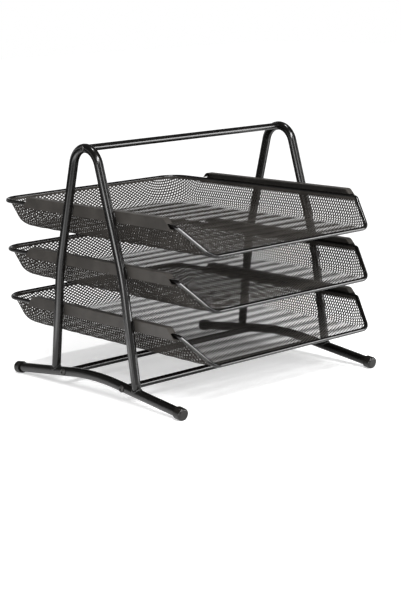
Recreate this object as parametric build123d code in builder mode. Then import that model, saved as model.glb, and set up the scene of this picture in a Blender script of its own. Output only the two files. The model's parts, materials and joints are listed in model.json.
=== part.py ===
"""Three-tier letter tray: a tube stand with six channel rails and three sliding mesh trays.

Millimetres, +Z up, floor at Z = 0. X runs across the trays and their open fronts face -Y.
The origin is on the floor under the middle of the trays.
"""
from build123d import *
import os
from math import acos, atan2, cos, pi, radians, sin, sqrt, tan
from typing import NamedTuple

os.makedirs("parts", exist_ok=True)

# Rim wire of a tray, measured between wire centres
RIM_WIRE_D = 4.4
RIM_WIDTH = 262.0
RIM_DEPTH = 341.0
RIM_FRONT_WIDTH = 226.6  # in front of the rails the side wires close in to this width
RIM_DROP = 28.6  # the front wire lies this far below the sides
RIM_SLOPE = 41.8  # degrees that the side wires bend down in front of the rails
RIM_BEND_R = 6.0
REAR_CORNER_R = 24.0
FRONT_CORNER_R = 12.0

# Mesh basket under the rim
SHEET = 0.8
SHEET_INSET = 1.9  # from the wire's centre to the sheet's outer face
WALL_TILT = 12.0  # degrees that the walls lean in
FOOT_R = 12.0  # outer radius where the walls turn into the floor
FLOOR_REAR_R = 36.0
FLOOR_FRONT_R = 9.0
# A plain grid of openings stands in for the much finer ones of the expanded metal
GRID_ACROSS = 10
GRID_ALONG = 12
GRID_OPEN = 0.7  # size of an opening, as a share of the distance to the next one
GRID_TOP = 5.0  # the walls' openings start this far below the rim wire's centre

# Channel rails
RAIL_LENGTH = 253.6
RAIL_END_RUN = 11.0  # the rails' ends slope back over this length
RAIL_HEIGHT = 12.0
RAIL_WALL = 1.0
RAIL_REACH = 2.0  # the flanges reach this far past the rim wire's centre line
RAIL_CORNER_R = 6.0
RAIL_PLAY = 2.6  # beside the rim wire
SLIDE_GAP = 0.3  # under the rim wire
MOUTH_GAP = 0.8  # over the rim wire where it passes the rail's ends
STOP_GAP = 0.3  # between the rail's front end and the bend of the wire
TIER_PITCH = 56.0
FIRST_RIM_Z = 82.8

# Side frames
LEG_D = 9.8
TUBE_WALL = 1.0
FRAME_HEIGHT = 271.0
APEX_R = 22.0
UPPER_SPLAY = 15.9  # degrees from upright, above the knee
LOWER_SPLAY = 7.9
KNEE_Z = 135.5
KNEE_R = 250.0
WELD_FLAT = 0.3  # the legs are pressed flat by this much where the rails are welded on

# Foot bars and their end caps
FOOT_D = 10.4
FOOT_LENGTH = 284.0
FOOT_SLOPE = 6.6  # degrees
FOOT_ARCH_R = 340.0
CAP_WALL = 1.5
CAP_GRIP = 7.0
CAP_END = 2.5
CAP_ROUNDING = 2.2
CAP_REST = 0.4  # depth of the flat that rests on the floor
CAP_FIT = 0.05

# Handle, cross rods and the screws that hold them
ROD_D = 7.3
ROD_SPACING = 102.0
ROD_SCREW_D = 4.0
ROD_SCREW_HEAD_D = 7.6
ROD_SCREW_HEAD_H = 2.4
ROD_SCREW_SOCKET = 2.9  # hexagon socket, across its corners
HANDLE_SCREW_D = 3.0
HANDLE_SCREW_HEAD_D = 6.0
HANDLE_SCREW_HEAD_H = 1.8
HANDLE_SCREW_SOCKET = 2.3
SCREW_GRIP = 10.0  # length of screw inside the rod
SCREW_FIT = 0.05
SCREW_CLEARANCE = 0.2
SPOT_FACE = 0.8  # depth of the flat under each screw head
TAP_EXTRA = 1.5  # the tapped holes are this much deeper than the screws

SIDES = {"left": -1, "right": 1}
ENDS = {"front": -1, "rear": 1}
TIERS = ["bottom", "middle", "top"]


class Screw(NamedTuple):
    """Sizes of a button-head screw."""

    shank_r: float
    head_r: float
    head_h: float
    socket_r: float


rod_screw = Screw(ROD_SCREW_D / 2, ROD_SCREW_HEAD_D / 2, ROD_SCREW_HEAD_H, ROD_SCREW_SOCKET / 2)
handle_screw = Screw(
    HANDLE_SCREW_D / 2, HANDLE_SCREW_HEAD_D / 2, HANDLE_SCREW_HEAD_H, HANDLE_SCREW_SOCKET / 2
)

rim_wire_r = RIM_WIRE_D / 2
leg_r = LEG_D / 2
foot_r = FOOT_D / 2
cap_r = foot_r + CAP_FIT + CAP_WALL
rod_r = ROD_D / 2

# The tray sits midway over the origin and the stand is placed so that the bends of the
# side wires lie just in front of the rails' front ends.
rear_y = RIM_DEPTH / 2
front_y = -RIM_DEPTH / 2
side_x = RIM_WIDTH / 2
rim_run = RIM_DROP / tan(radians(RIM_SLOPE))
bend_y = front_y + rim_run
front_side_x = RIM_FRONT_WIDTH / 2
side_run = sqrt(rim_run**2 + RIM_DROP**2 + (side_x - front_side_x) ** 2)
bend_start_y = bend_y + RIM_BEND_R * tan(acos(rim_run / side_run) / 2)
stand_y = bend_start_y + STOP_GAP + RAIL_LENGTH / 2

rail_flange = RAIL_WALL + RAIL_PLAY + rim_wire_r + RAIL_REACH
rail_x = side_x - RAIL_REACH + rail_flange  # outer face of the rails
frame_x = rail_x + leg_r - WELD_FLAT
apex_z = FRAME_HEIGHT - leg_r

foot_tilt = radians(FOOT_SLOPE)
foot_end_y = FOOT_LENGTH / 2
foot_end_z = cap_r * cos(foot_tilt) + CAP_END * sin(foot_tilt) - CAP_REST
foot_vertex_z = foot_end_z + foot_end_y * tan(foot_tilt)
foot_arch_y = FOOT_ARCH_R * sin(foot_tilt)


def foot_z(y):
    """Height of a foot bar's centre line at a distance y from the stand's middle."""
    if y > foot_arch_y:
        return foot_vertex_z - y * tan(foot_tilt)
    return foot_vertex_z - FOOT_ARCH_R / cos(foot_tilt) + sqrt(FOOT_ARCH_R**2 - y**2)


def rim_z(tier):
    """Height of the level part of a tray's rim wire."""
    return FIRST_RIM_Z + TIER_PITCH * TIERS.index(tier)


def leg_points(side):
    """Corners of a side frame's centre line, from the front foot over the top to the rear."""
    x = side * frame_x
    top_z = apex_z - APEX_R + APEX_R / sin(radians(UPPER_SPLAY))
    knee_y = (top_z - KNEE_Z) * tan(radians(UPPER_SPLAY))
    lean = tan(radians(LOWER_SPLAY))
    slope = tan(foot_tilt)
    # where the leg's line meets the foot bar's centre line
    foot_y = (knee_y + (KNEE_Z - foot_vertex_z) * lean) / (1 - slope * lean)
    return [
        (x, stand_y - foot_y, foot_vertex_z - foot_y * slope),
        (x, stand_y - knee_y, KNEE_Z),
        (x, stand_y, top_z),
        (x, stand_y + knee_y, KNEE_Z),
        (x, stand_y + foot_y, foot_vertex_z - foot_y * slope),
    ]


def side_frame_path(side):
    with BuildLine() as path:
        FilletPolyline(*leg_points(side), radius=[KNEE_R, APEX_R, KNEE_R])
    return path.wire()


def foot_bar_path(side):
    x = side * frame_x
    with BuildLine() as path:
        FilletPolyline(
            (x, stand_y - foot_end_y, foot_end_z),
            (x, stand_y, foot_vertex_z),
            (x, stand_y + foot_end_y, foot_end_z),
            radius=[FOOT_ARCH_R],
        )
    return path.wire()


def round_bar(path, radius):
    """A solid round bar along a path."""
    with BuildPart() as bar:
        with BuildSketch(Plane(origin=path @ 0, z_dir=path % 0)):
            Circle(radius)
        sweep(path=path)
    return bar.part


def screw_seat(side, y, z, tube_r):
    """Where a cross screw's head sits on the outside of a tube."""
    return Plane(origin=(side * (frame_x + tube_r - SPOT_FACE), y, z), z_dir=(side, 0, 0))


def screw_hole(seat, tube_r, size):
    """What a cross screw takes out of a tube: its clearance hole and the flat for its head."""
    with BuildPart() as cut:
        with BuildSketch(seat):
            Circle(size.head_r + SCREW_CLEARANCE)
        extrude(amount=2 * SPOT_FACE)
        with BuildSketch(seat):
            Circle(size.shank_r + SCREW_CLEARANCE)
        extrude(amount=-2 * tube_r)
    return cut.part


def screw(seat, tube_r, size):
    """A button-head screw from outside a tube, through it and into the end of a rod."""
    with BuildPart() as body:
        with BuildSketch(seat):
            Circle(size.head_r)
        extrude(amount=size.head_h)
        fillet(body.edges().group_by(Axis(seat.origin, seat.z_dir))[-1], size.head_h * 0.7)
        with BuildSketch(seat.offset(size.head_h)):
            RegularPolygon(size.socket_r, 6)
        extrude(amount=-size.head_h * 0.6, mode=Mode.SUBTRACT)
        with BuildSketch(seat):
            Circle(size.shank_r)
        extrude(amount=-(2 * tube_r - SPOT_FACE + SCREW_GRIP))
    return body.part


def tapped_rod(y, z, tube_r, size, tubes):
    """A solid rod across the stand, coped to the tubes at its ends and tapped for screws."""
    with BuildPart() as rod:
        with BuildSketch(Plane(origin=(-frame_x, y, z), z_dir=(1, 0, 0))):
            Circle(rod_r)
        extrude(amount=2 * frame_x)
        for tube in tubes:
            add(tube, mode=Mode.SUBTRACT)
        for side in SIDES.values():
            with BuildSketch(Plane(origin=(side * frame_x, y, z), z_dir=(-side, 0, 0))):
                Circle(size.shank_r + SCREW_FIT)
            extrude(amount=tube_r + SCREW_GRIP + TAP_EXTRA, mode=Mode.SUBTRACT)
    return rod.part


# Foot bars: arched tubes, drilled across for the cross rods' screws
foot_solids = {name: round_bar(foot_bar_path(side), foot_r) for name, side in SIDES.items()}
rod_z = foot_z(ROD_SPACING / 2)
rod_ys = {name: stand_y + end * ROD_SPACING / 2 for name, end in ENDS.items()}

for name, side in SIDES.items():
    with BuildPart() as foot_bar:
        add(foot_solids[name])
        add(round_bar(foot_bar_path(side), foot_r - TUBE_WALL), mode=Mode.SUBTRACT)
        for y in rod_ys.values():
            seat = screw_seat(side, y, rod_z, foot_r)
            add(screw_hole(seat, foot_r, rod_screw), mode=Mode.SUBTRACT)
    foot_bar.part.label = f"foot_bar_{name}"
    export_step(foot_bar.part, f"parts/foot_bar_{name}.step")

# End caps: short sleeves over the ends of the foot bars, with a small flat to stand on
for name, side in SIDES.items():
    for end_name, end in ENDS.items():
        tube_end = Plane(
            origin=(side * frame_x, stand_y + end * foot_end_y, foot_end_z),
            x_dir=(1, 0, 0),
            z_dir=(0, end * cos(foot_tilt), -sin(foot_tilt)),
        )
        with BuildPart() as foot_cap:
            with BuildSketch(tube_end.offset(-CAP_GRIP)):
                Circle(cap_r)
            extrude(amount=CAP_GRIP + CAP_END)
            fillet(foot_cap.edges().group_by(Axis.Y)[-1 if end > 0 else 0], CAP_ROUNDING)
            with BuildSketch(tube_end):
                Circle(foot_r + CAP_FIT)
            extrude(amount=-2 * CAP_GRIP, mode=Mode.SUBTRACT)
            split(bisect_by=Plane.XY, keep=Keep.TOP)
        foot_cap.part.label = f"foot_cap_{name}_{end_name}"
        export_step(foot_cap.part, f"parts/foot_cap_{name}_{end_name}.step")

# Rails: channels open towards the trays, with sloping ends that are left open low down
# for the rim wire to pass
rail_under_rim = rim_wire_r + SLIDE_GAP + RAIL_WALL
mouth_height = SLIDE_GAP + RIM_WIRE_D + MOUTH_GAP
rails = {}


def rail_outline():
    """A rail's side view: a long bar with sloping ends and rounded upper corners."""
    with BuildSketch() as outline:
        with BuildLine():
            FilletPolyline(
                (-RAIL_LENGTH / 2, 0),
                (RAIL_LENGTH / 2, 0),
                (RAIL_LENGTH / 2 - RAIL_END_RUN, RAIL_HEIGHT),
                (-RAIL_LENGTH / 2 + RAIL_END_RUN, RAIL_HEIGHT),
                radius=[0, 0, RAIL_CORNER_R, RAIL_CORNER_R],
                close=True,
            )
        make_face()
    return outline.sketch


for tier in TIERS:
    for name, side in SIDES.items():
        web = Plane(
            origin=(side * rail_x, stand_y, rim_z(tier) - rail_under_rim),
            x_dir=(0, -side, 0),
            z_dir=(-side, 0, 0),
        )
        with BuildPart() as rail:
            with BuildSketch(web):
                add(rail_outline())
            extrude(amount=rail_flange)
            with BuildSketch(web.offset(RAIL_WALL)):
                add(rail_outline())
                offset(amount=-RAIL_WALL, mode=Mode.REPLACE)
            extrude(amount=rail_flange, mode=Mode.SUBTRACT)
            with BuildSketch(web.offset(RAIL_WALL)):
                with Locations((0, RAIL_WALL + mouth_height / 2)):
                    Rectangle(RAIL_LENGTH + 2 * RAIL_WALL, mouth_height)
            extrude(amount=rail_flange, mode=Mode.SUBTRACT)
        rail.part.label = f"rail_{name}_{tier}"
        rails[name, tier] = rail.part
        export_step(rail.part, f"parts/rail_{name}_{tier}.step")

# Side frames: hairpin tubes, coped over the foot bars and pressed flat behind the rails
frame_solids = {name: round_bar(side_frame_path(side), leg_r) for name, side in SIDES.items()}

for name, side in SIDES.items():
    with BuildPart() as side_frame:
        add(frame_solids[name])
        add(round_bar(side_frame_path(side), leg_r - TUBE_WALL), mode=Mode.SUBTRACT)
        add(foot_solids[name], mode=Mode.SUBTRACT)
        for tier in TIERS:
            add(rails[name, tier], mode=Mode.SUBTRACT)
        seat = screw_seat(side, stand_y, apex_z, leg_r)
        add(screw_hole(seat, leg_r, handle_screw), mode=Mode.SUBTRACT)
    side_frame.part.label = f"side_frame_{name}"
    export_step(side_frame.part, f"parts/side_frame_{name}.step")

# Handle and cross rods
handle = tapped_rod(stand_y, apex_z, leg_r, handle_screw, frame_solids.values())
handle.label = "handle"
export_step(handle, "parts/handle.step")

for name, y in rod_ys.items():
    cross_rod = tapped_rod(y, rod_z, foot_r, rod_screw, foot_solids.values())
    cross_rod.label = f"cross_rod_{name}"
    export_step(cross_rod, f"parts/cross_rod_{name}.step")

# Screws, each kind in one group of separate solids
with BuildPart() as handle_screws:
    for side in SIDES.values():
        add(screw(screw_seat(side, stand_y, apex_z, leg_r), leg_r, handle_screw))
handle_screws.part.label = "handle_screws"
export_step(handle_screws.part, "parts/handle_screws.step")

with BuildPart() as rod_screws:
    for side in SIDES.values():
        for y in rod_ys.values():
            add(screw(screw_seat(side, y, rod_z, foot_r), foot_r, rod_screw))
rod_screws.part.label = "rod_screws"
export_step(rod_screws.part, "parts/rod_screws.step")


def rim_wire(z):
    """A tray's rim: one closed round wire, built as its right half and mirrored."""
    with BuildLine() as half:
        FilletPolyline(
            (0, rear_y, z),
            (side_x, rear_y, z),
            (side_x, bend_y, z),
            (front_side_x, front_y, z - RIM_DROP),
            (0, front_y, z - RIM_DROP),
            radius=[REAR_CORNER_R, RIM_BEND_R, FRONT_CORNER_R],
        )
    with BuildPart() as rim:
        with BuildSketch(Plane(origin=(0, rear_y, z), z_dir=(1, 0, 0))):
            Circle(rim_wire_r)
        sweep(path=half.wire())
        mirror(about=Plane.YZ)
    return rim.part


def open_outline(plane, half_width, far_half_width, length, corner_r):
    """Four sides from the plane's X axis to the length given, rounded at the far corners."""
    with BuildSketch(plane) as outline:
        with BuildLine():
            FilletPolyline(
                (-half_width, 0),
                (half_width, 0),
                (far_half_width, length),
                (-far_half_width, length),
                radius=[0, 0, corner_r, corner_r],
                close=True,
            )
        make_face()
    return outline.sketch


tilt = radians(WALL_TILT)
slope = radians(RIM_SLOPE)
pan_depth = RIM_DROP + SHEET / 2
foot_centre_depth = pan_depth - FOOT_R
foot_centre_in = (foot_centre_depth + FOOT_R * sin(tilt)) * tan(tilt) + FOOT_R * cos(tilt)


# the grid covers the floor, and its inner rows and columns go on up the walls
floor_x = side_x - SHEET_INSET - foot_centre_in
floor_rear_y = rear_y - SHEET_INSET - foot_centre_in
floor_length = floor_rear_y - front_y - SHEET_INSET
floor_mid_y = floor_rear_y - floor_length / 2
grid_x = 2 * floor_x / GRID_ACROSS
grid_y = floor_length / GRID_ALONG
opening_x = GRID_OPEN * grid_x
opening_y = GRID_OPEN * grid_y
wall_opening = foot_centre_depth + FOOT_R * sin(tilt) - GRID_TOP


def pan(z, skin):
    """The space inside a basket's outer surface, made smaller all round by a skin.

    Sections run from the rim down the leaning walls and round their feet to the floor.
    Behind the bend they are level. In front of it they narrow and tip forwards, the first
    along the sloping rim wire, until they meet along the front wire.
    """
    foot_r = FOOT_R - skin
    places = [(skin / cos(tilt), 0)]
    for turn in (tilt, (tilt + pi / 2) / 2, pi / 2):
        places.append((foot_centre_in - foot_r * cos(turn), foot_centre_depth + foot_r * sin(turn)))
    floor_depth = places[-1][1]
    level_sections = []
    tipped_sections = []
    for number, (inwards, depth) in enumerate(places):
        share = depth / floor_depth
        half_width = side_x - SHEET_INSET - inwards
        rear_r = (1 - share) * (REAR_CORNER_R - SHEET_INSET) + share * FLOOR_REAR_R - skin
        front_r = (1 - share) * (FRONT_CORNER_R - SHEET_INSET) + share * FLOOR_FRONT_R - skin
        level = Plane(origin=(0, bend_y, z - depth), x_dir=(1, 0, 0), z_dir=(0, 0, 1))
        length = rear_y - SHEET_INSET - inwards - bend_y
        level_sections.append(open_outline(level, half_width, half_width, length, rear_r))
        # the sections' front edges lie just over each other, within the sheet's thickness
        front_depth = floor_depth - SHEET * (1 - number / (len(places) - 1))
        front_run = front_depth / tan(slope) if number == 0 else rim_run - SHEET - skin
        tip = atan2(front_depth - depth, front_run)
        tipped = Plane(origin=(0, bend_y, z - depth), x_dir=(1, 0, 0), z_dir=(0, sin(tip), -cos(tip)))
        front_half_width = front_side_x - SHEET_INSET - skin - share * SHEET
        length = front_run / cos(tip)
        tipped_sections.append(open_outline(tipped, half_width, front_half_width, length, front_r))
    with BuildPart() as space:
        loft(sections=level_sections, ruled=True)
        loft(sections=tipped_sections, ruled=True)
    return space.part


for tier in TIERS:
    z = rim_z(tier)
    rim = rim_wire(z)
    rim.label = f"tray_{tier}_rim"
    export_step(rim, f"parts/tray_{tier}_rim.step")

    with BuildPart() as basket:
        add(pan(z, 0))
        add(pan(z, SHEET), mode=Mode.SUBTRACT)
        add(rim, mode=Mode.SUBTRACT)
        with Locations((0, floor_mid_y, z - pan_depth)):
            with GridLocations(grid_x, grid_y, GRID_ACROSS, GRID_ALONG):
                Box(opening_x, opening_y, FOOT_R, mode=Mode.SUBTRACT)
        wall_mid_z = z - GRID_TOP - wall_opening / 2
        with Locations((0, floor_mid_y, wall_mid_z)):
            with GridLocations(0, grid_y, 1, GRID_ALONG - 2):
                Box(2 * side_x, opening_y, wall_opening, mode=Mode.SUBTRACT)
        with Locations((0, rear_y, wall_mid_z)):
            with GridLocations(grid_x, 0, GRID_ACROSS - 2, 1):
                Box(opening_x, 2 * foot_centre_in, wall_opening, mode=Mode.SUBTRACT)
    basket.part.label = f"tray_{tier}_basket"
    export_step(basket.part, f"parts/tray_{tier}_basket.step")
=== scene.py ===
"""Three-tier letter tray: a black tube stand with six channel rails and three sliding mesh trays.

The scene is in metres, +Z up, with the floor at Z = 0. X runs across the trays and their open
fronts face -Y. Lengths are worked out in millimetres, and most of those in capitals repeat
those of the part's source.
"""
import json
from math import cos, pi, radians, sin, sqrt, tan

import bpy
import numpy as np
from mathutils import Matrix, Vector


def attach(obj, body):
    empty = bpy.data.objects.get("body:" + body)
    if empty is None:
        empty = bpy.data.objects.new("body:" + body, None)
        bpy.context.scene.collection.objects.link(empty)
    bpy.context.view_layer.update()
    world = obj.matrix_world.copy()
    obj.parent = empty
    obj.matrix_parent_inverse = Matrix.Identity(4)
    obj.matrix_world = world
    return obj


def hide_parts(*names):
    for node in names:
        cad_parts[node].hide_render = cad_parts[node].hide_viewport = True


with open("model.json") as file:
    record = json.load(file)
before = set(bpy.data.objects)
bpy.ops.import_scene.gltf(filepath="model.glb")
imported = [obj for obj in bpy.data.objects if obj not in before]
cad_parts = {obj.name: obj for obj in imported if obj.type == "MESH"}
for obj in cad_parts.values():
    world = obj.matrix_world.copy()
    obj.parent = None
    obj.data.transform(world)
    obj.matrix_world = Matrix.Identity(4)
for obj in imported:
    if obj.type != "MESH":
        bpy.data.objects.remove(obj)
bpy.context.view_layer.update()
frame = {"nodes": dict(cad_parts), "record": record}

MM = 0.001
TIERS = {"bottom": 82.8, "middle": 138.8, "top": 194.8}  # height of the rim's level part

# Rim wire and basket
RIM_WIRE_D = 4.4
RIM_WIDTH, RIM_FRONT_WIDTH, RIM_DEPTH, RIM_DROP = 262.0, 226.6, 341.0, 28.6
RIM_SLOPE = radians(41.8)
RIM_BEND_R, REAR_CORNER_R, FRONT_CORNER_R = 6.0, 24.0, 12.0
SHEET_INSET = 2.3  # from the wire's centre to the middle of the sheet
FRONT_INSET = 1.9  # the same at the front wire
WALL_TILT = radians(12.0)
FOOT_R = 11.6  # where the walls turn into the floor
FLOOR_REAR_R = 36.0
FRONT_CURVE_X, FRONT_CURVE_Y = 8.0, 3.6  # size of the curve at a front corner

# Expanded metal
MESH_LONG, MESH_SHORT = 6.1, 3.6  # from hole to hole, the long way and the short way
WALL_OPEN, FLOOR_OPEN = 0.50, 0.54  # a hole's diagonals are this share of its cell's
ROW_OPEN = 0.24  # and the floor's rows are more and less open by this
ROW_PITCH = 23.5  # from one open row to the next
ROW_SWAY, ROW_SWAY_X = 0.5, 40.0  # the rows wander by this angle, over this length across
STRAND = 0.42  # thickness
HEM = 2.6  # solid edge of the sheet under the rim wire
HEM_HALF = 0.6 * STRAND  # half of the hem's thickness
FLOOR_END, HOLES_END = 0.05, 0.985  # shares of a wall where the floor's rows and the holes end

# The floor's unevenness
SWELL, SWELL_X, SWELL_Y = 0.18, 23.0, 31.0  # height, and lengths along X and Y
RIPPLE = 0.2  # height, along the rows
EVEN_HEIGHT, EVEN_FRONT = 6.0, 20.0  # it dies away over this height and towards the front wire

REAR_Y = RIM_DEPTH / 2
FRONT_Y = -RIM_DEPTH / 2
BEND_Y = FRONT_Y + RIM_DROP / tan(RIM_SLOPE)

# Stand
STAND_Y = -8.838
FRAME_X = 141.4
LEG_D = 9.8
APEX_Z, APEX_R = 266.1, 22.0
UPPER_SPLAY, LOWER_SPLAY = radians(15.9), radians(7.9)
KNEE_Z, KNEE_R = 135.5, 250.0
FOOT_D, FOOT_LENGTH, FOOT_ARCH_R = 10.4, 284.0, 340.0
FOOT_SLOPE = radians(6.6)
CAP_D, CAP_END, CAP_REST = 13.5, 2.5, 0.4
ROD_D, ROD_SPACING = 7.3, 102.0
RAIL_X = 136.8  # outer face of the rails
SIDES = {"left": -1, "right": 1}

# Beads of weld: mean radius, height of their ripples, and ripples to the radian or millimetre
FOOT_BEAD_R, FOOT_BEAD_RIPPLE, FOOT_BEAD_RIPPLES = 0.95, 0.12, 22
RAIL_BEAD_R, RAIL_BEAD_RIPPLE, RAIL_BEAD_RIPPLES = 0.9, 0.1, 6
RAIL_BEAD_LOW, RAIL_BEAD_HIGH = -2.0, 7.0  # where a bead on a rail ends, from the rim's height
RAIL_BEAD_Y = 3.0  # from the middle of the leg
RAIL_BEAD_OUT = 0.3  # from the rail's face

# Fineness of the meshes
ARC_STEP, STRAIGHT_STEP = 1.2, 9.6  # between points of a bent bar
HEM_FRONT, HEM_CORNER, HEM_SLOPE, HEM_SIDE, HEM_REAR = 60, 16, 20, 80, 40  # points of a stretch
RAIL_BEAD_POINTS = 28
NUDGE = 0.2  # between points whose difference gives a direction of the sheet


def save_mesh(name, vertices, face_groups, material, smooth=True):
    """Makes a mesh object from vertices in millimetres.

    The faces come in groups, and those of one group have the same number of corners.
    """
    corners = np.concatenate([faces.ravel() for faces in face_groups]).astype(np.int32)
    sizes = np.concatenate([np.full(len(faces), faces.shape[1]) for faces in face_groups])
    mesh = bpy.data.meshes.new(name)
    mesh.vertices.add(len(vertices))
    mesh.vertices.foreach_set("co", (vertices * MM).astype(np.float32).ravel())
    mesh.loops.add(len(corners))
    mesh.loops.foreach_set("vertex_index", corners)
    mesh.polygons.add(len(sizes))
    starts = np.concatenate([[0], np.cumsum(sizes)[:-1]]).astype(np.int32)
    mesh.polygons.foreach_set("loop_start", starts)
    mesh.polygons.foreach_set("use_smooth", np.full(len(sizes), smooth))
    mesh.update(calc_edges=True)
    mesh.validate()
    mesh.materials.append(material)
    piece = bpy.data.objects.new(name, mesh)
    bpy.context.scene.collection.objects.link(piece)
    return piece


def unit(vectors):
    """The vectors at a length of 1."""
    return vectors / np.linalg.norm(vectors, axis=-1, keepdims=True)


def bent_path(corners, radii, closed=False):
    """Points of a line of straight runs whose corners are rounded by arcs.

    At a corner with unit directions a in and b out that turn by t, the arc starts
    r tan(t/2) before the corner. Its points are start + r (sin(s) a + (1 - cos(s)) n) for s
    from 0 to t, where n is the unit part of b that is square to a.
    """
    corners = np.array(corners, float)
    arcs = []
    count = len(corners)
    for number in range(count) if closed else range(1, count - 1):
        corner, radius = corners[number], radii[number if closed else number - 1]
        a = unit(corner - corners[number - 1])
        b = unit(corners[(number + 1) % count] - corner)
        turn = np.arccos(np.clip(a @ b, -1, 1))
        n = unit(b - (a @ b) * a)
        start = corner - a * radius * tan(turn / 2)
        s = np.linspace(0, turn, max(int(radius * turn / ARC_STEP), 6) + 1)[:, None]
        arcs.append(start + radius * (np.sin(s) * a + (1 - np.cos(s)) * n))
    stops = arcs if closed else [corners[:1]] + arcs + [corners[-1:]]
    pieces = []
    for first, second in zip(stops, stops[1:] + stops[:1]):
        pieces.append(first)
        if second is stops[0] and not closed:
            break
        gap = second[0] - first[-1]
        runs = max(int(np.linalg.norm(gap) / STRAIGHT_STEP), 1)
        pieces.append(first[-1] + gap * (np.arange(1, runs) / runs)[:, None])
    return np.concatenate(pieces)


def bar(points, radius, across, closed=False, around=20):
    """Vertices and faces of a round bar along points.

    A ring's points are centre + r (cos(a) side + sin(a) rise). side is `across` less its part
    along the path, and rise is path x side. An open bar's ends are closed by fans.
    """
    if closed:
        path = unit(np.roll(points, -1, axis=0) - np.roll(points, 1, axis=0))
    else:
        path = unit(np.gradient(points, axis=0))
    across = np.broadcast_to(np.array(across, float), path.shape)
    side = unit(across - (across * path).sum(axis=1, keepdims=True) * path)
    rise = np.cross(path, side)
    angle = np.linspace(0, 2 * pi, around, endpoint=False)
    radius = np.broadcast_to(np.array(radius, float), (len(points),))[:, None, None]
    ring = np.cos(angle)[None, :, None] * side[:, None] + np.sin(angle)[None, :, None] * rise[:, None]
    vertices = (points[:, None] + radius * ring).reshape(-1, 3)
    index = np.arange(len(vertices)).reshape(len(points), around)
    turned, ahead = np.roll(index, -1, axis=1), np.roll(index, -1, axis=0)
    quads = np.stack([index, turned, np.roll(turned, -1, axis=0), ahead], axis=-1)
    if closed:
        return vertices, [quads.reshape(-1, 4)]
    first, last = len(vertices), len(vertices) + 1
    vertices = np.concatenate([vertices, points[:1], points[-1:]])
    start = np.stack([np.full(around, first), turned[0], index[0]], axis=-1)
    end = np.stack([np.full(around, last), index[-1], turned[-1]], axis=-1)
    return vertices, [quads[:-1].reshape(-1, 4), np.concatenate([start, end])]


def join(*shapes):
    """Several shapes' vertices and face groups as one."""
    vertices, groups, count = [], [], 0
    for points, faces in shapes:
        vertices.append(points)
        groups += [group + count for group in faces]
        count += len(points)
    return np.concatenate(vertices), groups


def raised(shape, height):
    """A shape moved up by a height."""
    vertices, faces = shape
    return vertices + (0, 0, height), faces


# Finishes


class Reading:
    """A number that varies over a surface: a socket whose arithmetic adds Math nodes."""

    def __init__(self, shading, socket):
        self.shading = shading
        self.socket = socket

    def math(self, operation, *values):
        sockets = dict(enumerate(values))
        node = self.shading.node("ShaderNodeMath", {"operation": operation}, sockets)
        return Reading(self.shading, node.outputs[0])

    def __add__(self, other):
        return self.math("ADD", self, other)

    def __mul__(self, other):
        return self.math("MULTIPLY", self, other)

    def __sub__(self, other):
        return self.math("SUBTRACT", self, other)

    def __rsub__(self, other):
        return self.math("SUBTRACT", other, self)

    __radd__ = __add__
    __rmul__ = __mul__

    def step(self, low, high):
        """0 below low, 1 above high and smooth between them."""
        settings = {"interpolation_type": "SMOOTHSTEP"}
        sockets = {"Value": self, "From Min": low, "From Max": high}
        node = self.shading.node("ShaderNodeMapRange", settings, sockets)
        return Reading(self.shading, node.outputs["Result"])


class Shading:
    """A node tree, with one method that adds any node to it."""

    def __init__(self, tree):
        self.nodes = tree.nodes
        self.links = tree.links

    def node(self, kind, settings=None, sockets=None):
        """Adds a node: first its settings, then its sockets' values or links."""
        node = self.nodes.new(kind)
        for setting, value in (settings or {}).items():
            setattr(node, setting, value)
        for socket, value in (sockets or {}).items():
            self.feed(node.inputs[socket], value)
        return node

    def feed(self, socket, value):
        """Gives a socket a number, a colour, a reading or another socket's output."""
        if isinstance(value, Reading):
            value = value.socket
        if isinstance(value, bpy.types.NodeSocket):
            self.links.new(value, socket)
        else:
            socket.default_value = value

    def blend(self, amount, first, second):
        """A colour between two, by an amount from 0 to 1."""
        settings = {"data_type": "RGBA", "clamp_factor": True}
        node = self.node("ShaderNodeMix", settings, {0: amount, 6: first, 7: second})
        return node.outputs[2]


class Finish(Shading):
    """A material of one Principled shader."""

    def __init__(self, name, **constants):
        self.material = bpy.data.materials.new(name)
        self.material.use_nodes = True
        super().__init__(self.material.node_tree)
        self.shader = self.nodes["Principled BSDF"]
        for socket, value in constants.items():
            self.shader.inputs[socket.replace("_", " ")].default_value = value
        self.place = self.node("ShaderNodeTexCoord").outputs["Object"]

    def noise(self, scale, detail=2.0):
        """Cloudy noise around a half, with `scale` clouds to the metre."""
        sockets = {"Vector": self.place, "Scale": scale, "Detail": detail}
        return Reading(self, self.node("ShaderNodeTexNoise", None, sockets).outputs[0])

    def relief(self, height, depth):
        """Bumps of a depth in metres, worked from a height between 0 and 1."""
        bump = self.node("ShaderNodeBump", None, {"Distance": depth, "Height": height})
        self.feed(self.shader.inputs["Normal"], bump.outputs[0])

    def vary(self, **readings):
        """Feeds the shader's sockets named with readings or colours."""
        for socket, value in readings.items():
            self.feed(self.shader.inputs[socket.replace("_", " ")], value)


def grey(level, warmth=0.10):
    """A grey that is a little warm."""
    return (level * (1 + warmth), level, level * (1 - warmth), 1.0)


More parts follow.
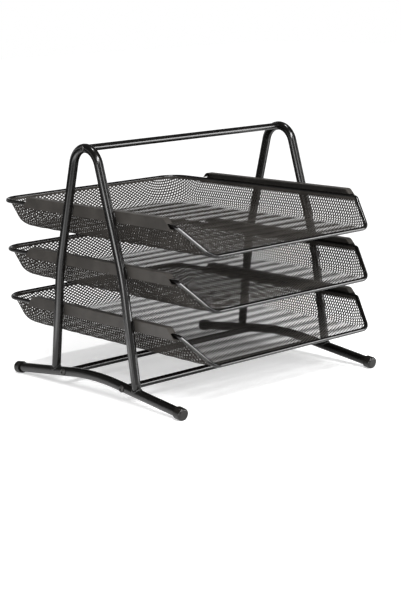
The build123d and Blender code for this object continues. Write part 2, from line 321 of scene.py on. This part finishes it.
def powder_coat(name, level, roughness, peel, grain, shine, **constants):
    """Black powder coat: soft clouds of tone, orange peel and a few specks of dust.

    level is its mean grey and shine the strength of its reflections. The orange peel's bumps
    are about peel wide and grain deep, in millimetres.
    """
    coat = Finish(name, Roughness=roughness, Specular_IOR_Level=shine, **constants)
    clouds = coat.noise(45, 3).step(0.35, 0.65)
    dust = coat.noise(2600, 1).step(0.70, 0.76)
    tone = coat.blend(clouds, grey(level * 0.85), grey(level * 1.2))
    coat.vary(Base_Color=coat.blend(dust * 0.5, tone, grey(level * 2 + 0.01)))
    coat.vary(Roughness=roughness + 0.08 * (coat.noise(300, 2) - 0.5) + 0.1 * dust)
    bumps = coat.noise(1 / (peel * MM), 2) * 0.8 + coat.noise(4 / (peel * MM), 1) * 0.2
    coat.relief(bumps, grain * MM)
    return coat.material


tube_paint = powder_coat("tube_paint", 0.002, 0.20, peel=2.2, grain=0.012, shine=0.45)
rail_paint = powder_coat("rail_paint", 0.026, 0.42, peel=1.1, grain=0.03, shine=0.25)
mesh_paint = powder_coat("mesh_paint", 0.021, 0.40, peel=2.5, grain=0.01, shine=0.5, IOR=1.12)

cap_plastic = Finish("cap_plastic", Roughness=0.2, Specular_IOR_Level=0.3)
cap_plastic.vary(
    Base_Color=cap_plastic.blend(cap_plastic.noise(150, 3), grey(0.004), grey(0.007)),
    Roughness=0.16 + 0.12 * cap_plastic.noise(500, 3),
)
cap_plastic.relief(cap_plastic.noise(700, 2), 0.03 * MM)

screw_steel = Finish("screw_steel", Metallic=0.3, Roughness=0.35)
screw_steel.vary(
    Base_Color=screw_steel.blend(screw_steel.noise(900, 3), grey(0.012, 0.05), grey(0.03, 0.05)),
    Roughness=0.28 + 0.2 * screw_steel.noise(1500, 2),
)
screw_steel.relief(screw_steel.noise(3000, 2), 0.01 * MM)

paints = {
    "tube_paint": tube_paint,
    "rail_paint": rail_paint,
    "mesh_paint": mesh_paint,
    "cap_plastic": cap_plastic.material,
    "screw_steel": screw_steel.material,
}
for subpart in frame["record"]["subparts"]:
    node = frame["nodes"][subpart["node"]]
    node.data.materials.clear()
    node.data.materials.append(paints[subpart["material_slot"]])


def place(name, shape, slot, body, *nodes, smooth=True):
    """A finished piece that rides on a body and stands for the nodes named."""
    piece = save_mesh(name, *shape, paints[slot], smooth)
    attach(piece, body)
    if nodes:
        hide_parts(*nodes)
    return piece


# Baskets: one sheet of expanded metal each, folded up from the flat

foot_turn = pi / 2 - WALL_TILT
foot_length = FOOT_R * foot_turn
foot_out = FOOT_R * sin(foot_turn)
foot_up = FOOT_R * (1 - cos(foot_turn))
wall_length = foot_length + (RIM_DROP - foot_up) / cos(WALL_TILT)
wall_out = foot_out + (RIM_DROP - foot_up) * tan(WALL_TILT)
floor_x = RIM_WIDTH / 2 - SHEET_INSET - wall_out
floor_y = REAR_Y - SHEET_INSET - wall_out
edge_y = FRONT_Y + FRONT_INSET
rear_x = floor_x - FLOOR_REAR_R
rear_y = floor_y - FLOOR_REAR_R
front_x = RIM_FRONT_WIDTH / 2 - FRONT_CURVE_X
front_y = edge_y + FRONT_CURVE_Y


def climb(share):
    """How far out and up the sheet is at a share of the way from the floor to the rim.

    Both run from 0 to 1. Round its foot the sheet turns on a circle, out = r sin(a) and
    up = r (1 - cos(a)), and from there it goes straight on at the wall's lean.
    """
    way = share * wall_length
    turn = np.minimum(way, foot_length) / FOOT_R
    straight = np.maximum(way - foot_length, 0)
    out = FOOT_R * np.sin(turn) + straight * sin(WALL_TILT)
    up = FOOT_R * (1 - np.cos(turn)) + straight * cos(WALL_TILT)
    return out / wall_out, up / RIM_DROP


def share_of_wall(way, out, up):
    """Share of a wall that a length of sheet covers, for a wall that goes out and up by these amounts."""
    full = sqrt(wall_out**2 + RIM_DROP**2)
    length = np.hypot(out, up) * (1 + (wall_length / full - 1) * up / RIM_DROP)
    return way / np.maximum(length, 0.01)


def fold(u, v):
    """Where points of the flat sheet come to lie in a basket.

    u and v run along X and Y from the middle of the tray. Inside the floor's outline the
    sheet stays flat. Outside it, a point's distance past the outline becomes its way up the
    wall. In front of the bend the wall shrinks evenly with the way to the front wire. Round
    the rear corners the angle about the floor's corner becomes an equal share of the wall's
    own outline, whose radius changes from floor to rim. The front corners are quarter ellipses.
    Returns the points, and the share of the wall that they have climbed, over 1 past the rim.
    """
    across = np.abs(u)

    # beside the floor
    y = np.clip(v, edge_y, rear_y)
    size = np.clip((y - FRONT_Y) / (BEND_Y - FRONT_Y), 0, 1)
    curve = np.clip((front_y - y) / (front_y - edge_y), 0, 1)
    foot_x = front_x + (floor_x - front_x) * np.sqrt(1 - curve**2)
    share = share_of_wall(np.maximum(across - foot_x, 0), wall_out * size, RIM_DROP * size)
    out, up = climb(np.clip(share, 0, 1))
    x = np.minimum(across, foot_x) + wall_out * size * out
    z = RIM_DROP * size * up
    share = np.where(v < edge_y, 2, share)

    # behind it
    behind = v > rear_y
    share_rear = np.maximum(v - floor_y, 0) / wall_length
    out, up = climb(np.clip(share_rear, 0, 1))
    x = np.where(behind, across, x)
    y = np.where(behind, np.minimum(v, floor_y) + wall_out * out, y)
    z = np.where(behind, RIM_DROP * up, z)
    share = np.where(behind, share_rear, share)

    # round its rear corners
    corner = behind & (across > rear_x)
    reach = np.hypot(across - rear_x, v - rear_y)
    turn = np.arctan2(v - rear_y, across - rear_x) / (pi / 2)
    share_corner = np.maximum(reach - FLOOR_REAR_R, 0) / wall_length
    out, up = climb(np.clip(share_corner, 0, 1))
    radius = FLOOR_REAR_R + (REAR_CORNER_R - SHEET_INSET - FLOOR_REAR_R) * up
    straight = FLOOR_REAR_R + wall_out * out - radius
    along = turn * (2 * straight + radius * pi / 2)
    angle = np.clip((along - straight) / radius, 0, pi / 2)
    before = np.minimum(along, straight)
    after = np.maximum(along - straight - radius * pi / 2, 0)
    wall_x = rear_x + straight + radius * np.cos(angle) - after
    wall_y = rear_y + before + radius * np.sin(angle)
    on_floor = reach < FLOOR_REAR_R
    x = np.where(corner, np.where(on_floor, across, wall_x), x)
    y = np.where(corner, np.where(on_floor, v, wall_y), y)
    z = np.where(corner, RIM_DROP * up, z)
    share = np.where(corner, share_corner, share)

    swell = SWELL * np.sin(x / SWELL_X) * np.sin(y / SWELL_Y)
    ripple = RIPPLE * np.sin(2 * pi * y / ROW_PITCH)
    fade = np.clip(1 - z / EVEN_HEIGHT, 0, 1) * np.clip((y - edge_y) / EVEN_FRONT, 0, 1)
    return np.stack([np.sign(u) * x, y, z + (swell + ripple) * fade], axis=-1), share


def fold_with_normals(u, v):
    """Folded points with their unit normals, from the differences of neighbouring points."""
    points, share = fold(u, v)
    along_u = fold(u + NUDGE, v)[0] - fold(u - NUDGE, v)[0]
    along_v = fold(u, v + NUDGE)[0] - fold(u, v - NUDGE)[0]
    normals = np.cross(along_u, along_v)
    length = np.linalg.norm(normals, axis=-1, keepdims=True)
    normals = np.where(length > 1e-9, normals / np.maximum(length, 1e-9), (0, 0, 1))
    return points, normals, share


def expanded_metal():
    """Vertices and faces of a basket's expanded metal, over its floor's own level.

    Holes lie on a brick-like lattice. Each is a diamond inside a diamond cell, whose corners
    are the bonds it shares with its neighbours. A strand runs between two bonds and has a
    diamond section: ridges above and below from bond to bond, edges along the holes.
    """
    half_u, half_v = MESH_LONG / 2, MESH_SHORT / 2
    columns = int((floor_x + wall_length) / half_u) + 2
    rows = int((REAR_Y + wall_length) / half_v) + 2
    i, j = np.meshgrid(np.arange(-columns, columns + 1), np.arange(-rows, rows + 1), indexing="ij")
    is_hole = (i + j) % 2 == 0
    points, normals, share = fold_with_normals(i * half_u, j * half_v)
    keep = is_hole & (share < HOLES_END)

    # bonds: the lattice points between the holes, with a ridge above and one below
    count = i.size
    index = np.arange(count).reshape(i.shape)
    ridge = normals * (STRAND / 2)
    bonds = np.concatenate([(points + ridge).reshape(-1, 3), (points - ridge).reshape(-1, 3)])

    # edges: the four corners of each hole, more or less open by the row it lies in
    hole_i, hole_j = np.nonzero(keep)
    ways = np.array([(1, 0), (0, 1), (-1, 0), (0, -1)])
    centre_u = (hole_i - columns) * half_u
    centre_v = (hole_j - rows) * half_v
    wave = np.sin(2 * pi * centre_v / ROW_PITCH + ROW_SWAY * np.sin(centre_u / ROW_SWAY_X))
    on_floor = share[keep] < FLOOR_END
    open_share = np.where(on_floor, FLOOR_OPEN + ROW_OPEN * wave, WALL_OPEN)[:, None]
    edge_u = centre_u[:, None] + ways[:, 0] * half_u * open_share
    edge_v = centre_v[:, None] + ways[:, 1] * half_v * open_share
    edges = fold(edge_u, edge_v)[0]

    around = index[hole_i[:, None] + ways[:, 0], hole_j[:, None] + ways[:, 1]]
    inner = len(bonds) + np.arange(len(hole_i) * 4).reshape(-1, 4)
    after, inner_after = np.roll(around, -1, axis=1), np.roll(inner, -1, axis=1)
    above = np.stack([around, after, inner_after, inner], axis=-1)
    below = np.stack([inner, inner_after, after + count, around + count], axis=-1)
    vertices = np.concatenate([bonds, edges.reshape(-1, 3)])
    faces = np.concatenate([above.reshape(-1, 4), below.reshape(-1, 4)])

    used, faces = np.unique(faces, return_inverse=True)
    return vertices[used], [faces.reshape(-1, 4)]


def hem_line(way_in):
    """A line on the flat sheet, round the whole of it, at a distance in from its edge.

    Its right half runs from the middle of the front to the middle of the rear, and its mirror
    image back again.
    """
    front_u = np.linspace(0, front_x, HEM_FRONT)[:-1]
    turn = np.linspace(pi / 2, 0, HEM_CORNER)
    swing = np.linspace(0, 1, HEM_CORNER)
    corner_u = front_x + (floor_x - front_x) * np.cos(turn)
    corner_v = front_y - (front_y - edge_y) * np.sin(turn)
    slope_v = np.linspace(front_y, BEND_Y, HEM_SLOPE)
    side_v = np.concatenate([slope_v, np.linspace(BEND_Y, rear_y, HEM_SIDE)[1:]])
    size = np.clip((side_v - FRONT_Y) / (BEND_Y - FRONT_Y), 0, 1)
    side_u = floor_x + 1 / share_of_wall(1.0, wall_out * size, RIM_DROP * size) - way_in
    turn = np.linspace(0, pi / 2, HEM_REAR)[1:]
    reach = FLOOR_REAR_R + wall_length - way_in
    rear_u = np.linspace(rear_x, 0, HEM_REAR)[1:]
    line = [
        (front_u, np.full(front_u.shape, edge_y + way_in)),
        (corner_u + (side_u[0] - floor_x) * swing, corner_v + way_in * (1 - swing)),
        (side_u[1:], side_v[1:]),
        (rear_x + reach * np.cos(turn), rear_y + reach * np.sin(turn)),
        (rear_u, np.full(rear_u.shape, floor_y + wall_length - way_in)),
    ]
    u, v = (np.concatenate(runs) for runs in zip(*line))
    return np.concatenate([u, -u[-2:0:-1]]), np.concatenate([v, v[-2:0:-1]])


def hem():
    """The sheet's solid edge: a flat strip carried round the rim, just inside it."""
    outer, inner = hem_line(0.0), hem_line(HEM)
    lines = []
    for (u, v), level in ((outer, 1), (inner, 1), (inner, -1), (outer, -1)):
        points, normals, _ = fold_with_normals(u, v)
        lines.append(points + normals * level * HEM_HALF)
    vertices = np.stack(lines, axis=1)
    ring = np.arange(vertices.shape[0] * 4).reshape(-1, 4)
    beyond = np.roll(ring, -1, axis=0)
    turned, beyond_turned = np.roll(ring, -1, axis=1), np.roll(beyond, -1, axis=1)
    faces = np.stack([ring, beyond, beyond_turned, turned], axis=-1)
    return vertices.reshape(-1, 3), [faces.reshape(-1, 4)]


def rim_wire():
    """A tray's rim: one closed wire, level behind the bends and closing in to the front."""
    side, front = RIM_WIDTH / 2, RIM_FRONT_WIDTH / 2
    corners = [
        (side, REAR_Y, 0),
        (side, BEND_Y, 0),
        (front, FRONT_Y, -RIM_DROP),
        (-front, FRONT_Y, -RIM_DROP),
        (-side, BEND_Y, 0),
        (-side, REAR_Y, 0),
    ]
    radii = [REAR_CORNER_R, RIM_BEND_R, FRONT_CORNER_R, FRONT_CORNER_R, RIM_BEND_R, REAR_CORNER_R]
    return bar(bent_path(corners, radii, closed=True), RIM_WIRE_D / 2, (0, 0, 1), closed=True)


sheet = join(expanded_metal(), hem())
wire = rim_wire()
for tier, z in TIERS.items():
    body = f"tray_{tier}"
    basket = raised(sheet, z - RIM_DROP)
    place(f"mesh_{tier}", basket, "mesh_paint", body, f"tray_{tier}_basket", smooth=False)
    place(f"rim_{tier}", raised(wire, z), "tube_paint", body, f"tray_{tier}_rim")

# Stand: bent tubes, rods and welds

foot_end_y = FOOT_LENGTH / 2
foot_end_z = CAP_D / 2 * cos(FOOT_SLOPE) + CAP_END * sin(FOOT_SLOPE) - CAP_REST
foot_vertex_z = foot_end_z + foot_end_y * tan(FOOT_SLOPE)
rod_z = foot_vertex_z - ROD_SPACING / 2 * tan(FOOT_SLOPE)
top_z = APEX_Z - APEX_R + APEX_R / sin(UPPER_SPLAY)
knee_y = (top_z - KNEE_Z) * tan(UPPER_SPLAY)
meeting = 1 - tan(FOOT_SLOPE) * tan(LOWER_SPLAY)
leg_foot_y = (knee_y + (KNEE_Z - foot_vertex_z) * tan(LOWER_SPLAY)) / meeting
leg_foot_z = foot_vertex_z - leg_foot_y * tan(FOOT_SLOPE)


def foot_weld(x, end):
    """The bead round a leg where it stands on its foot bar.

    A point of the leg's surface is q + t d, with q on the circle r (cos(a) X + sin(a) m) and d
    the leg's direction. It is on the bar where its part square to the bar's direction f is as
    long as the bar's radius, a square equation whose larger root is taken.
    """
    angle = np.linspace(0, 2 * pi, 120, endpoint=False)[:, None]
    knee = np.array([0, end * knee_y, KNEE_Z])
    foot = np.array([0, end * leg_foot_y, leg_foot_z])
    d = unit(knee - foot)
    f = np.array([0, cos(FOOT_SLOPE), -end * sin(FOOT_SLOPE)])
    m = np.cross(d, (1, 0, 0))
    q = LEG_D / 2 * (np.cos(angle) * (1, 0, 0) + np.sin(angle) * m)
    q_square, d_square = q - (q @ f)[:, None] * f, d - (d @ f) * f
    a, b = d_square @ d_square, q_square @ d_square
    c = (q_square**2).sum(axis=1) - (FOOT_D / 2) ** 2
    t = (-b + np.sqrt(b**2 - a * c)) / a
    points = foot + q + t[:, None] * d + (x, STAND_Y, 0)
    radius = FOOT_BEAD_R + FOOT_BEAD_RIPPLE * np.sin(angle[:, 0] * FOOT_BEAD_RIPPLES)
    return bar(points, radius, d, closed=True, around=10)


def rail_weld(x, z, leg_end, edge):
    """A bead down one edge of a leg, where it is welded to a rail's outer face."""
    height = np.linspace(z + RAIL_BEAD_LOW, z + RAIL_BEAD_HIGH, RAIL_BEAD_POINTS)
    upper = np.clip(top_z - height, 0, None) * tan(UPPER_SPLAY)
    lower = knee_y + (KNEE_Z - height) * tan(LOWER_SPLAY)
    y = STAND_Y + leg_end * np.where(height > KNEE_Z, upper, lower) + edge * RAIL_BEAD_Y
    ends = np.sin(np.linspace(0, pi, RAIL_BEAD_POINTS)) ** 0.4
    ripple = RAIL_BEAD_R + RAIL_BEAD_RIPPLE * np.sin(height * RAIL_BEAD_RIPPLES)
    points = np.stack([np.full(RAIL_BEAD_POINTS, x), y, height], axis=1)
    return bar(points, ripple * np.maximum(ends, 0.05), (1, 0, 0), around=8)


for name, side in SIDES.items():
    x = side * FRAME_X
    legs = [
        (x, STAND_Y - leg_foot_y, leg_foot_z),
        (x, STAND_Y - knee_y, KNEE_Z),
        (x, STAND_Y, top_z),
        (x, STAND_Y + knee_y, KNEE_Z),
        (x, STAND_Y + leg_foot_y, leg_foot_z),
    ]
    tube = bar(bent_path(legs, [KNEE_R, APEX_R, KNEE_R]), LEG_D / 2, (1, 0, 0), around=28)
    place(f"hairpin_{name}", tube, "tube_paint", "stand", f"side_frame_{name}")
    arch = [
        (x, STAND_Y - foot_end_y, foot_end_z),
        (x, STAND_Y, foot_vertex_z),
        (x, STAND_Y + foot_end_y, foot_end_z),
    ]
    tube = bar(bent_path(arch, [FOOT_ARCH_R]), FOOT_D / 2, (1, 0, 0), around=28)
    place(f"arch_{name}", tube, "tube_paint", "stand", f"foot_bar_{name}")
    welds = [foot_weld(x, end) for end in (-1, 1)]
    rail_face = side * (RAIL_X + RAIL_BEAD_OUT)
    for z in TIERS.values():
        welds += [rail_weld(rail_face, z, leg_end, edge) for leg_end in (-1, 1) for edge in (-1, 1)]
    place(f"welds_{name}", join(*welds), "tube_paint", "stand")

for name, y, z in (
    ("handle", STAND_Y, APEX_Z),
    ("cross_rod_front", STAND_Y - ROD_SPACING / 2, rod_z),
    ("cross_rod_rear", STAND_Y + ROD_SPACING / 2, rod_z),
):
    line = np.linspace((-FRAME_X, y, z), (FRAME_X, y, z), 40)
    place(f"round_{name}", bar(line, ROD_D / 2, (0, 0, 1), around=24), "tube_paint", "stand", name)

# Surroundings: white for the camera, white low down and dark overhead for reflections

DARK_OVERHEAD, DARK_FROM, DARK_TO = 0.9, 0.02, 0.3  # by the height of a direction
FILL = 0.4  # brightness for all other rays

studio = bpy.data.worlds.new("studio")
studio.use_nodes = True
bpy.context.scene.world = studio
sky = Shading(studio.node_tree)
rays = sky.node("ShaderNodeLightPath")
seen = Reading(sky, rays.outputs["Is Camera Ray"])
seen = seen.math("MAXIMUM", seen, Reading(sky, rays.outputs["Is Transmission Ray"]))
mirrored = Reading(sky, rays.outputs["Is Glossy Ray"])
direction = sky.node("ShaderNodeTexCoord").outputs["Generated"]
height = Reading(sky, sky.node("ShaderNodeSeparateXYZ", None, {0: direction}).outputs["Z"])
backdrop = 1 - DARK_OVERHEAD * height.step(DARK_FROM, DARK_TO)
room = mirrored * backdrop + (1 - mirrored) * FILL
sky.feed(sky.nodes["Background"].inputs["Strength"], seen + (1 - seen) * room)
sky.feed(sky.nodes["Background"].inputs["Color"], (1, 1, 1, 1))

# Floor: pale near the object and painted dark further off, a painted shade that stands for an unlit room in
# what the object mirrors, with a glow that makes it white to the camera

NEAR, FAR = 0.25, 0.7  # metres from the object over which the floor changes
NEAR_GLOW, FAR_GLOW = 0.4, 1.06
FLOOR_REACH = 6000

floor_paint = Finish("floor_paint", Roughness=0.9, Specular_IOR_Level=0.1)
away = floor_paint.node("ShaderNodeVectorMath", {"operation": "LENGTH"}, {0: floor_paint.place})
away = Reading(floor_paint, away.outputs["Value"]).step(NEAR, FAR)
pale = floor_paint.blend(floor_paint.noise(3), grey(0.80, 0), grey(0.82, 0))
# painted shade: the floor's colour goes dark away from the object, so that reflections show a dark room
floor_paint.vary(Base_Color=floor_paint.blend(away, pale, grey(0.08, 0)))
white = {"Color": (1, 1, 1, 1), "Strength": NEAR_GLOW + (FAR_GLOW - NEAR_GLOW) * away}
glow = floor_paint.node("ShaderNodeEmission", None, white).outputs[0]
plain = floor_paint.shader.outputs[0]
glowing = floor_paint.node("ShaderNodeAddShader", None, {0: plain, 1: glow}).outputs[0]
seen = floor_paint.node("ShaderNodeLightPath").outputs["Is Camera Ray"]
table = floor_paint.node("ShaderNodeMixShader", None, {0: seen, 1: plain, 2: glowing}).outputs[0]
floor_paint.feed(floor_paint.nodes["Material Output"].inputs["Surface"], table)

reach = (-FLOOR_REACH, 0, FLOOR_REACH)
grid = np.array([(x, y, 0) for x in reach for y in reach])
tiles = np.array([(3 * i + j, 3 * i + 3 + j, 3 * i + 4 + j, 3 * i + 1 + j) for i in (0, 1) for j in (0, 1)])
floor = save_mesh("floor", grid, [tiles], floor_paint.material)

# Lamps, all outside the picture


def hang(name, light, turn, place=(0, 0, 0)):
    """Puts a lamp in the scene, at a place in millimetres and turned by a matrix."""
    lamp = bpy.data.objects.new(name, light)
    lamp.location = Vector(place) * MM
    lamp.rotation_euler = turn.to_euler()
    bpy.context.scene.collection.objects.link(lamp)


def far_lamp(name, way, spread, power):
    """A distant round lamp in the direction `way`, as wide as `spread` degrees."""
    light = bpy.data.lights.new(name, "SUN")
    light.angle = radians(spread)
    light.energy = power
    hang(name, light, Vector(way).to_track_quat("Z", "Y").to_matrix())


def soft_box(name, place, width, height, brightness, target=(0, 0, 100), lean=0):
    """A lamp panel in millimetres that faces a target, as bright as `brightness` whites.

    It leans about the line to its target by an angle in degrees.
    """
    light = bpy.data.lights.new(name, "AREA")
    light.shape = "RECTANGLE"
    light.size, light.size_y = width * MM, height * MM
    light.energy = brightness * pi * light.size * light.size_y
    facing = (Vector(place) - Vector(target)).to_track_quat("Z", "Y").to_matrix()
    hang(name, light, facing @ Matrix.Rotation(radians(lean), 3, "Z"), place)


# each panel is where one direction of tube or wire shows it as a bright line
far_lamp("ceiling_lamp", way=(0.04, 0.06, 1.0), spread=5, power=1.0)
soft_box("rim_panel", (-536, -904, 1155), 1100, 260, brightness=32, target=(-120, -150, 180), lean=32)
soft_box("front_panel", (100, -1150, 750), 350, 1200, brightness=7)
soft_box("right_panel", (950, -1150, 250), 600, 500, brightness=15)
soft_box("left_panel", (-1300, -450, 250), 600, 500, brightness=9)
soft_box("low_left_panel", (-560, 40, 5), 600, 200, brightness=3, target=(-560, 40, 1000))
soft_box("low_right_panel", (620, -560, 5), 600, 600, brightness=4, target=(620, -560, 1000))

# Camera

IMAGE_PX = (401, 601)
FOCAL_PX, CENTRE_PX = 1523.065, (199.602, 293.581)
CAMERA_PLACE = (-1102.83, -1272.43, 438.63)
YAW, PITCH, ROLL = radians(-41.402), radians(-11.782), radians(-1.564)
SENSOR_WIDTH = 36

forward = Vector((-sin(YAW) * cos(PITCH), cos(YAW) * cos(PITCH), sin(PITCH)))
level_right = forward.cross(Vector((0, 0, 1))).normalized()
level_up = level_right.cross(forward)
right = cos(ROLL) * level_right + sin(ROLL) * level_up
up = -sin(ROLL) * level_right + cos(ROLL) * level_up
camera_data = bpy.data.cameras.new("camera")
camera_data.sensor_fit = "HORIZONTAL"
camera_data.sensor_width = SENSOR_WIDTH
camera_data.lens = FOCAL_PX * SENSOR_WIDTH / IMAGE_PX[0]
camera_data.shift_x = (IMAGE_PX[0] / 2 - CENTRE_PX[0]) / IMAGE_PX[0]
camera_data.shift_y = (CENTRE_PX[1] - IMAGE_PX[1] / 2) / IMAGE_PX[0]
camera_data.clip_end = 50
camera = bpy.data.objects.new("camera", camera_data)
turn = Matrix((right, up, -forward)).transposed().to_4x4()
camera.matrix_world = Matrix.Translation(Vector(CAMERA_PLACE) * MM) @ turn
bpy.context.scene.collection.objects.link(camera)
bpy.context.scene.camera = camera
bpy.context.scene.view_settings.view_transform = "Standard"

bpy.context.view_layer.update()
